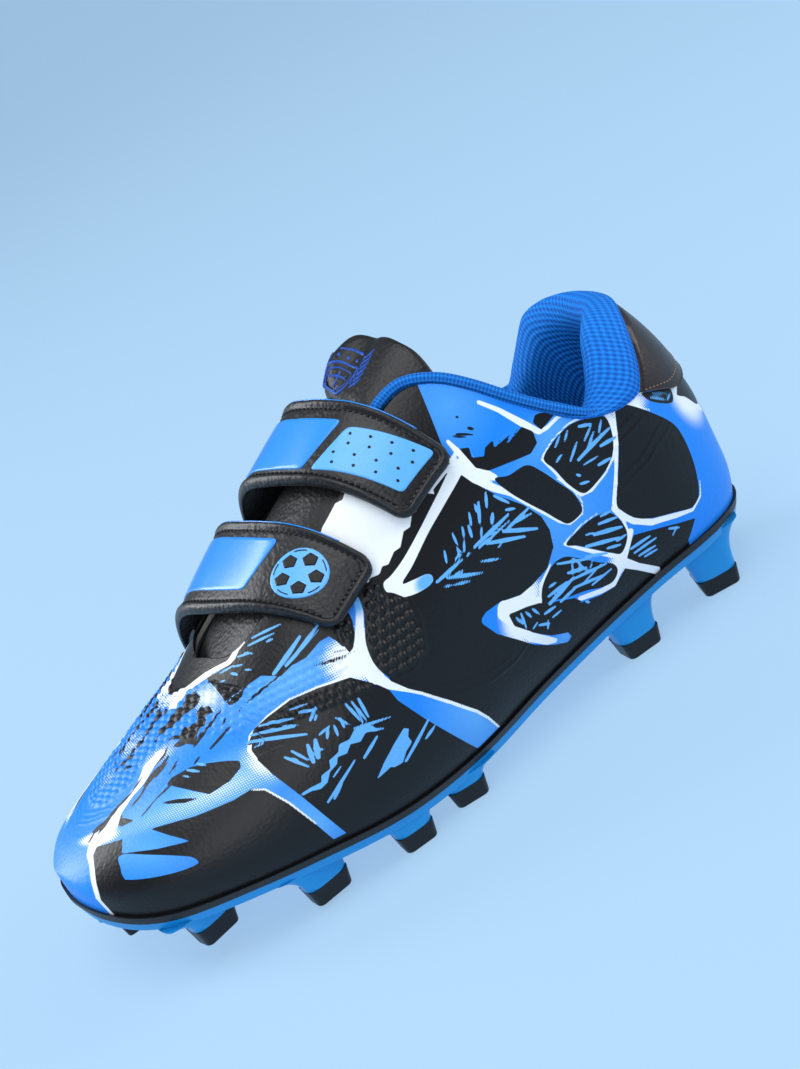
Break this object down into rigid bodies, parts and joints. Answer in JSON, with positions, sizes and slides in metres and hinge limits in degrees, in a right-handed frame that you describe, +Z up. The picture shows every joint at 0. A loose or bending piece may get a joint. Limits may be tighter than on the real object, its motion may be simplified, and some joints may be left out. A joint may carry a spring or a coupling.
{
  "type": "football boot",
  "caption": "Child's left football boot with a padded collar, two hook-and-loop straps over the tongue, and a moulded plastic outsole with tapered studs.",
  "frame": {"origin": "on the ground under the middle of the boot's bounding box", "axes": "+Z up, -Y towards the toe, +Y towards the heel, +X towards the lateral (outer) side where the straps fasten"},
  "size_m": [0.0804, 0.2158, 0.1092],
  "materials": {
    "sole_blue": "satin moulded TPU",
    "stud_black": "moulded",
    "rand_black": "satin",
    "shank_board": "fibre board",
    "board": "fibre board",
    "foam": "open-cell foam",
    "sock_cover": "brushed textile",
    "upper_print": "printed synthetic leather",
    "lining_black": "textile",
    "collar_blue": "knitted mesh",
    "heel_tab_brown": "synthetic leather",
    "piping_blue": "woven tape",
    "leather_black": "grained synthetic leather",
    "hook_black": "hook tape",
    "loop_black": "loop tape",
    "badge_blue": "moulded relief",
    "strap_blue": "gloss film",
    "strap_light": "matt film"
  },
  "bodies": {
    "shoe": {"outsole_plate": "sole_blue", "sole_rand": "rand_black", "shank": "shank_board", "lasting_board": "board", "insole_foam": "foam", "insole_cover": "sock_cover", "vamp": "upper_print", "lateral_quarter": "upper_print", "medial_quarter": "upper_print", "toe_puff": "board", "vamp_backing": "foam", "lateral_facing": "foam", "medial_facing": "foam", "lateral_backing": "foam", "medial_backing": "foam", "heel_counter": "board", "vamp_lining": "lining_black", "quarter_lining": "lining_black", "collar_foam": "foam", "collar_lining": "collar_blue", "heel_tab": "heel_tab_brown", "lateral_piping": "piping_blue", "medial_piping": "piping_blue", "tongue_lower_skin": "leather_black", "tongue_lower_foam": "foam", "tongue_lower_lining": "lining_black", "upper_loop_patch": "loop_black", "lower_loop_patch": "loop_black", "upper_strap_root": "leather_black", "lower_strap_root": "leather_black", "tip_toe": "stud_black", "tip_lateral_1": "stud_black", "tip_lateral_2": "stud_black", "tip_lateral_3": "stud_black", "tip_lateral_4": "stud_black", "tip_medial_1": "stud_black", "tip_medial_2": "stud_black", "tip_medial_3": "stud_black", "tip_medial_4": "stud_black", "tip_heel_lateral_1": "stud_black", "tip_heel_lateral_2": "stud_black", "tip_heel_medial_1": "stud_black", "tip_heel_medial_2": "stud_black"},
    "upper_strap": {"upper_strap_band": "leather_black", "upper_strap_binding": "leather_black", "upper_strap_hook": "hook_black", "upper_strap_panel": "strap_blue", "upper_strap_mesh": "strap_light"},
    "lower_strap": {"lower_strap_band": "leather_black", "lower_strap_binding": "leather_black", "lower_strap_hook": "hook_black", "lower_strap_panel": "strap_blue", "lower_strap_emblem": "strap_light"},
    "tongue_top": {"tongue_upper_skin": "leather_black", "tongue_upper_foam": "foam", "tongue_upper_lining": "lining_black", "tongue_badge": "badge_blue"}
  },
  "joints": [
    {"name": "upper_strap_open", "type": "hinge", "parent": "shoe", "child": "upper_strap", "pos_m": [-0.03156, -0.0023, 0.07114], "axis": [-0.1136, -0.9087, -0.4018], "range_deg": [0, 95]},
    {"name": "lower_strap_open", "type": "hinge", "parent": "shoe", "child": "lower_strap", "pos_m": [-0.0356, -0.03355, 0.05371], "axis": [-0.0059, -0.9197, -0.3925], "range_deg": [0, 95]},
    {"name": "tongue_flex", "type": "hinge", "parent": "shoe", "child": "tongue_top", "pos_m": [-0.00484, 0.02055, 0.098], "axis": [1, 0, 0], "range_deg": [-3, 16], "stiffness_Nm_per_rad": 0.05}
  ]
}
